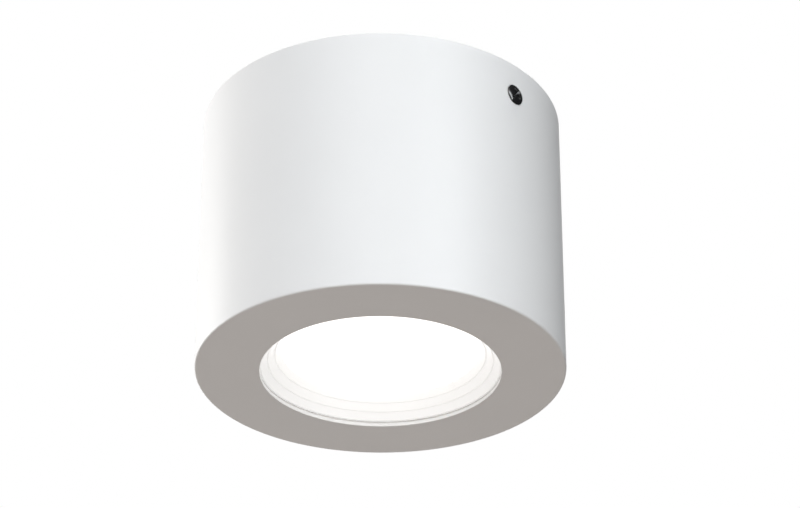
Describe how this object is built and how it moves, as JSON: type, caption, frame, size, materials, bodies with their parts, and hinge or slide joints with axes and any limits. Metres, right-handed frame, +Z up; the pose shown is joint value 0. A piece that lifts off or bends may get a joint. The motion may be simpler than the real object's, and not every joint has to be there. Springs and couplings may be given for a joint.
{
  "type": "surface downlight",
  "caption": "White cylindrical surface downlight with a recessed, stepped and lit aperture in its flat face, clamped to a ceiling plate by side screws.",
  "frame": {"origin": "middle of the ceiling plane, between the two slots of the ceiling plate", "axes": "+Z up into the ceiling; +X along the two clamping screws; the two ceiling slots lie on Y"},
  "size_m": [0.1192, 0.117, 0.09],
  "materials": {
    "white_paint": "fine powder coat, satin white",
    "grey_silicone": "matt grey silicone",
    "white_reflector": "satin white polycarbonate",
    "opal": "opal acrylic, lit from behind",
    "white_mask": "white solder mask on an aluminium board",
    "phosphor": "yellow phosphor in white LED packages",
    "natural_nylon": "natural white nylon",
    "zinc_steel": "bright zinc plate",
    "pad_silicone": "soft grey-blue thermal pad",
    "cast_aluminium": "as-cast aluminium, machined base",
    "brass": "bright brass",
    "galvanised": "galvanised sheet",
    "driver_plastic": "moulded flame-retardant plastic, fine texture",
    "circuit_board": "green solder mask",
    "transformer_tape": "yellow polyester tape",
    "capacitor_sleeve": "shrink sleeve",
    "chip_epoxy": "moulded epoxy",
    "black_rubber": "matt black rubber",
    "foam": "closed-cell foam",
    "tinned_copper": "tinned copper",
    "brown_pvc": "brown insulation",
    "blue_pvc": "blue insulation",
    "earth_pvc": "green insulation with a yellow stripe",
    "red_pvc": "red insulation",
    "black_pvc": "black insulation",
    "black_steel": "glossy black oxide",
    "white_nylon": "white nylon"
  },
  "bodies": {
    "ceiling_bracket": {"bracket_plate": "galvanised", "base_seal": "foam", "cable_grommet": "black_rubber"},
    "lamp_body": {"housing": "white_paint", "face_seal": "grey_silicone", "reflector": "white_reflector", "diffuser": "opal", "light_cup": "white_reflector", "led_board": "white_mask", "led_chips": "phosphor", "led_connector": "natural_nylon", "led_board_screws": "zinc_steel", "thermal_pad": "pad_silicone", "heat_sink": "cast_aluminium", "pillars": "brass", "gear_tray": "galvanised", "tray_screws": "zinc_steel", "driver_base": "driver_plastic", "driver_lid": "driver_plastic", "driver_board": "circuit_board", "driver_transformer": "transformer_tape", "driver_capacitors": "capacitor_sleeve", "driver_chips": "chip_epoxy", "driver_connectors": "natural_nylon", "driver_screws": "zinc_steel", "terminal_block": "natural_nylon", "terminal_clamps": "brass", "terminal_screws": "zinc_steel", "terminal_fixings": "zinc_steel", "cord_clamp": "natural_nylon", "cord_clamp_screws": "zinc_steel", "earth_tag": "tinned_copper", "earth_screw": "zinc_steel", "lead_bush": "black_rubber", "live_lead": "brown_pvc", "neutral_lead": "blue_pvc", "earth_lead": "earth_pvc", "led_positive_lead": "red_pvc", "led_negative_lead": "black_pvc"},
    "right_washer": {"clamp_washer_right": "white_nylon"},
    "right_screw": {"clamp_screw_right": "black_steel"},
    "left_washer": {"clamp_washer_left": "white_nylon"},
    "left_screw": {"clamp_screw_left": "black_steel"}
  },
  "joints": [
    {"name": "housing_drop", "type": "slide", "parent": "ceiling_bracket", "child": "lamp_body", "axis": [0, 0, -1], "range_m": [0, 0.04]},
    {"name": "right_screw_travel", "type": "slide", "parent": "lamp_body", "child": "right_washer", "axis": [1, 0, 0], "range_m": [0, 0.0028]},
    {"name": "right_screw_turn", "type": "hinge", "parent": "right_washer", "child": "right_screw", "pos_m": [0.0585, 0, -0.0118], "axis": [1, 0, 0], "range_deg": [0, 1441]},
    {"name": "left_screw_travel", "type": "slide", "parent": "lamp_body", "child": "left_washer", "axis": [-1, 0, 0], "range_m": [0, 0.0028]},
    {"name": "left_screw_turn", "type": "hinge", "parent": "left_washer", "child": "left_screw", "pos_m": [-0.0585, 0, -0.0118], "axis": [-1, 0, 0], "range_deg": [0, 1441]}
  ],
  "couplings": [
    {"joint": "right_screw_turn", "follows": "right_screw_travel", "rad_per_m": 8976},
    {"joint": "left_screw_turn", "follows": "left_screw_travel", "rad_per_m": 8976}
  ]
}
